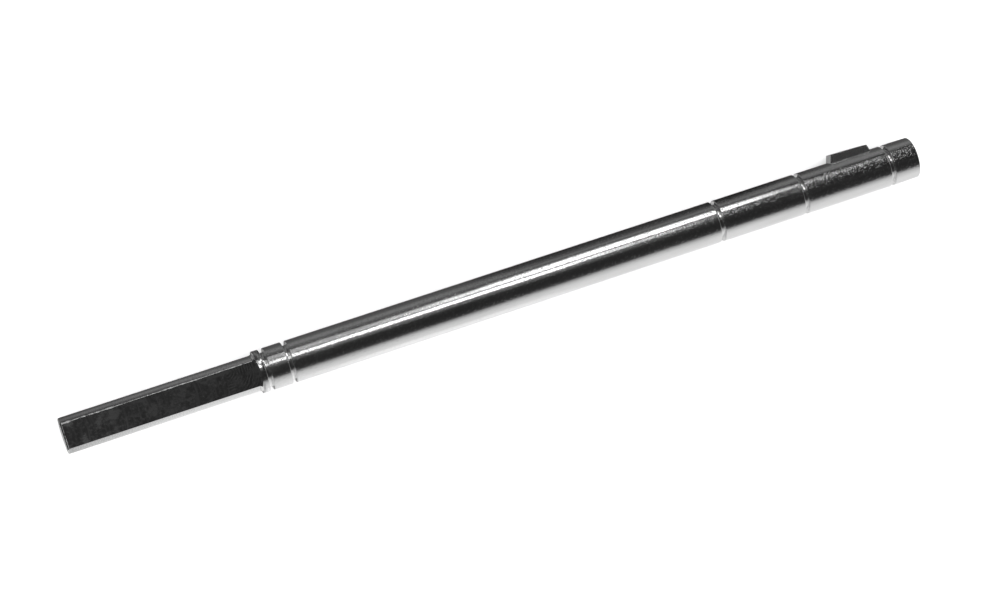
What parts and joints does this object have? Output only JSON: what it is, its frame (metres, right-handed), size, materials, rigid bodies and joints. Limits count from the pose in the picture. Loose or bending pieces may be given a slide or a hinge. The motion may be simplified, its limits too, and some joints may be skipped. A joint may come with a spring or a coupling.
{
  "type": "crane shaft",
  "caption": "Slim plated steel drive shaft with a flatted tongue at one end, retaining ring grooves along its length and a seated key near the other end.",
  "frame": {"origin": "on the shaft axis, at the end face of the tongue", "axes": "+X along the axis from the tongue to the key end, +Y towards the key, +Z out of the milled flat"},
  "size_m": [0.2032, 0.0112, 0.0096],
  "materials": {
    "plated_steel": "bright plated, turned",
    "key_steel": "bright steel, stamped"
  },
  "bodies": {
    "root": {"shaft": "plated_steel", "drive_key": "key_steel"}
  },
  "joints": []
}
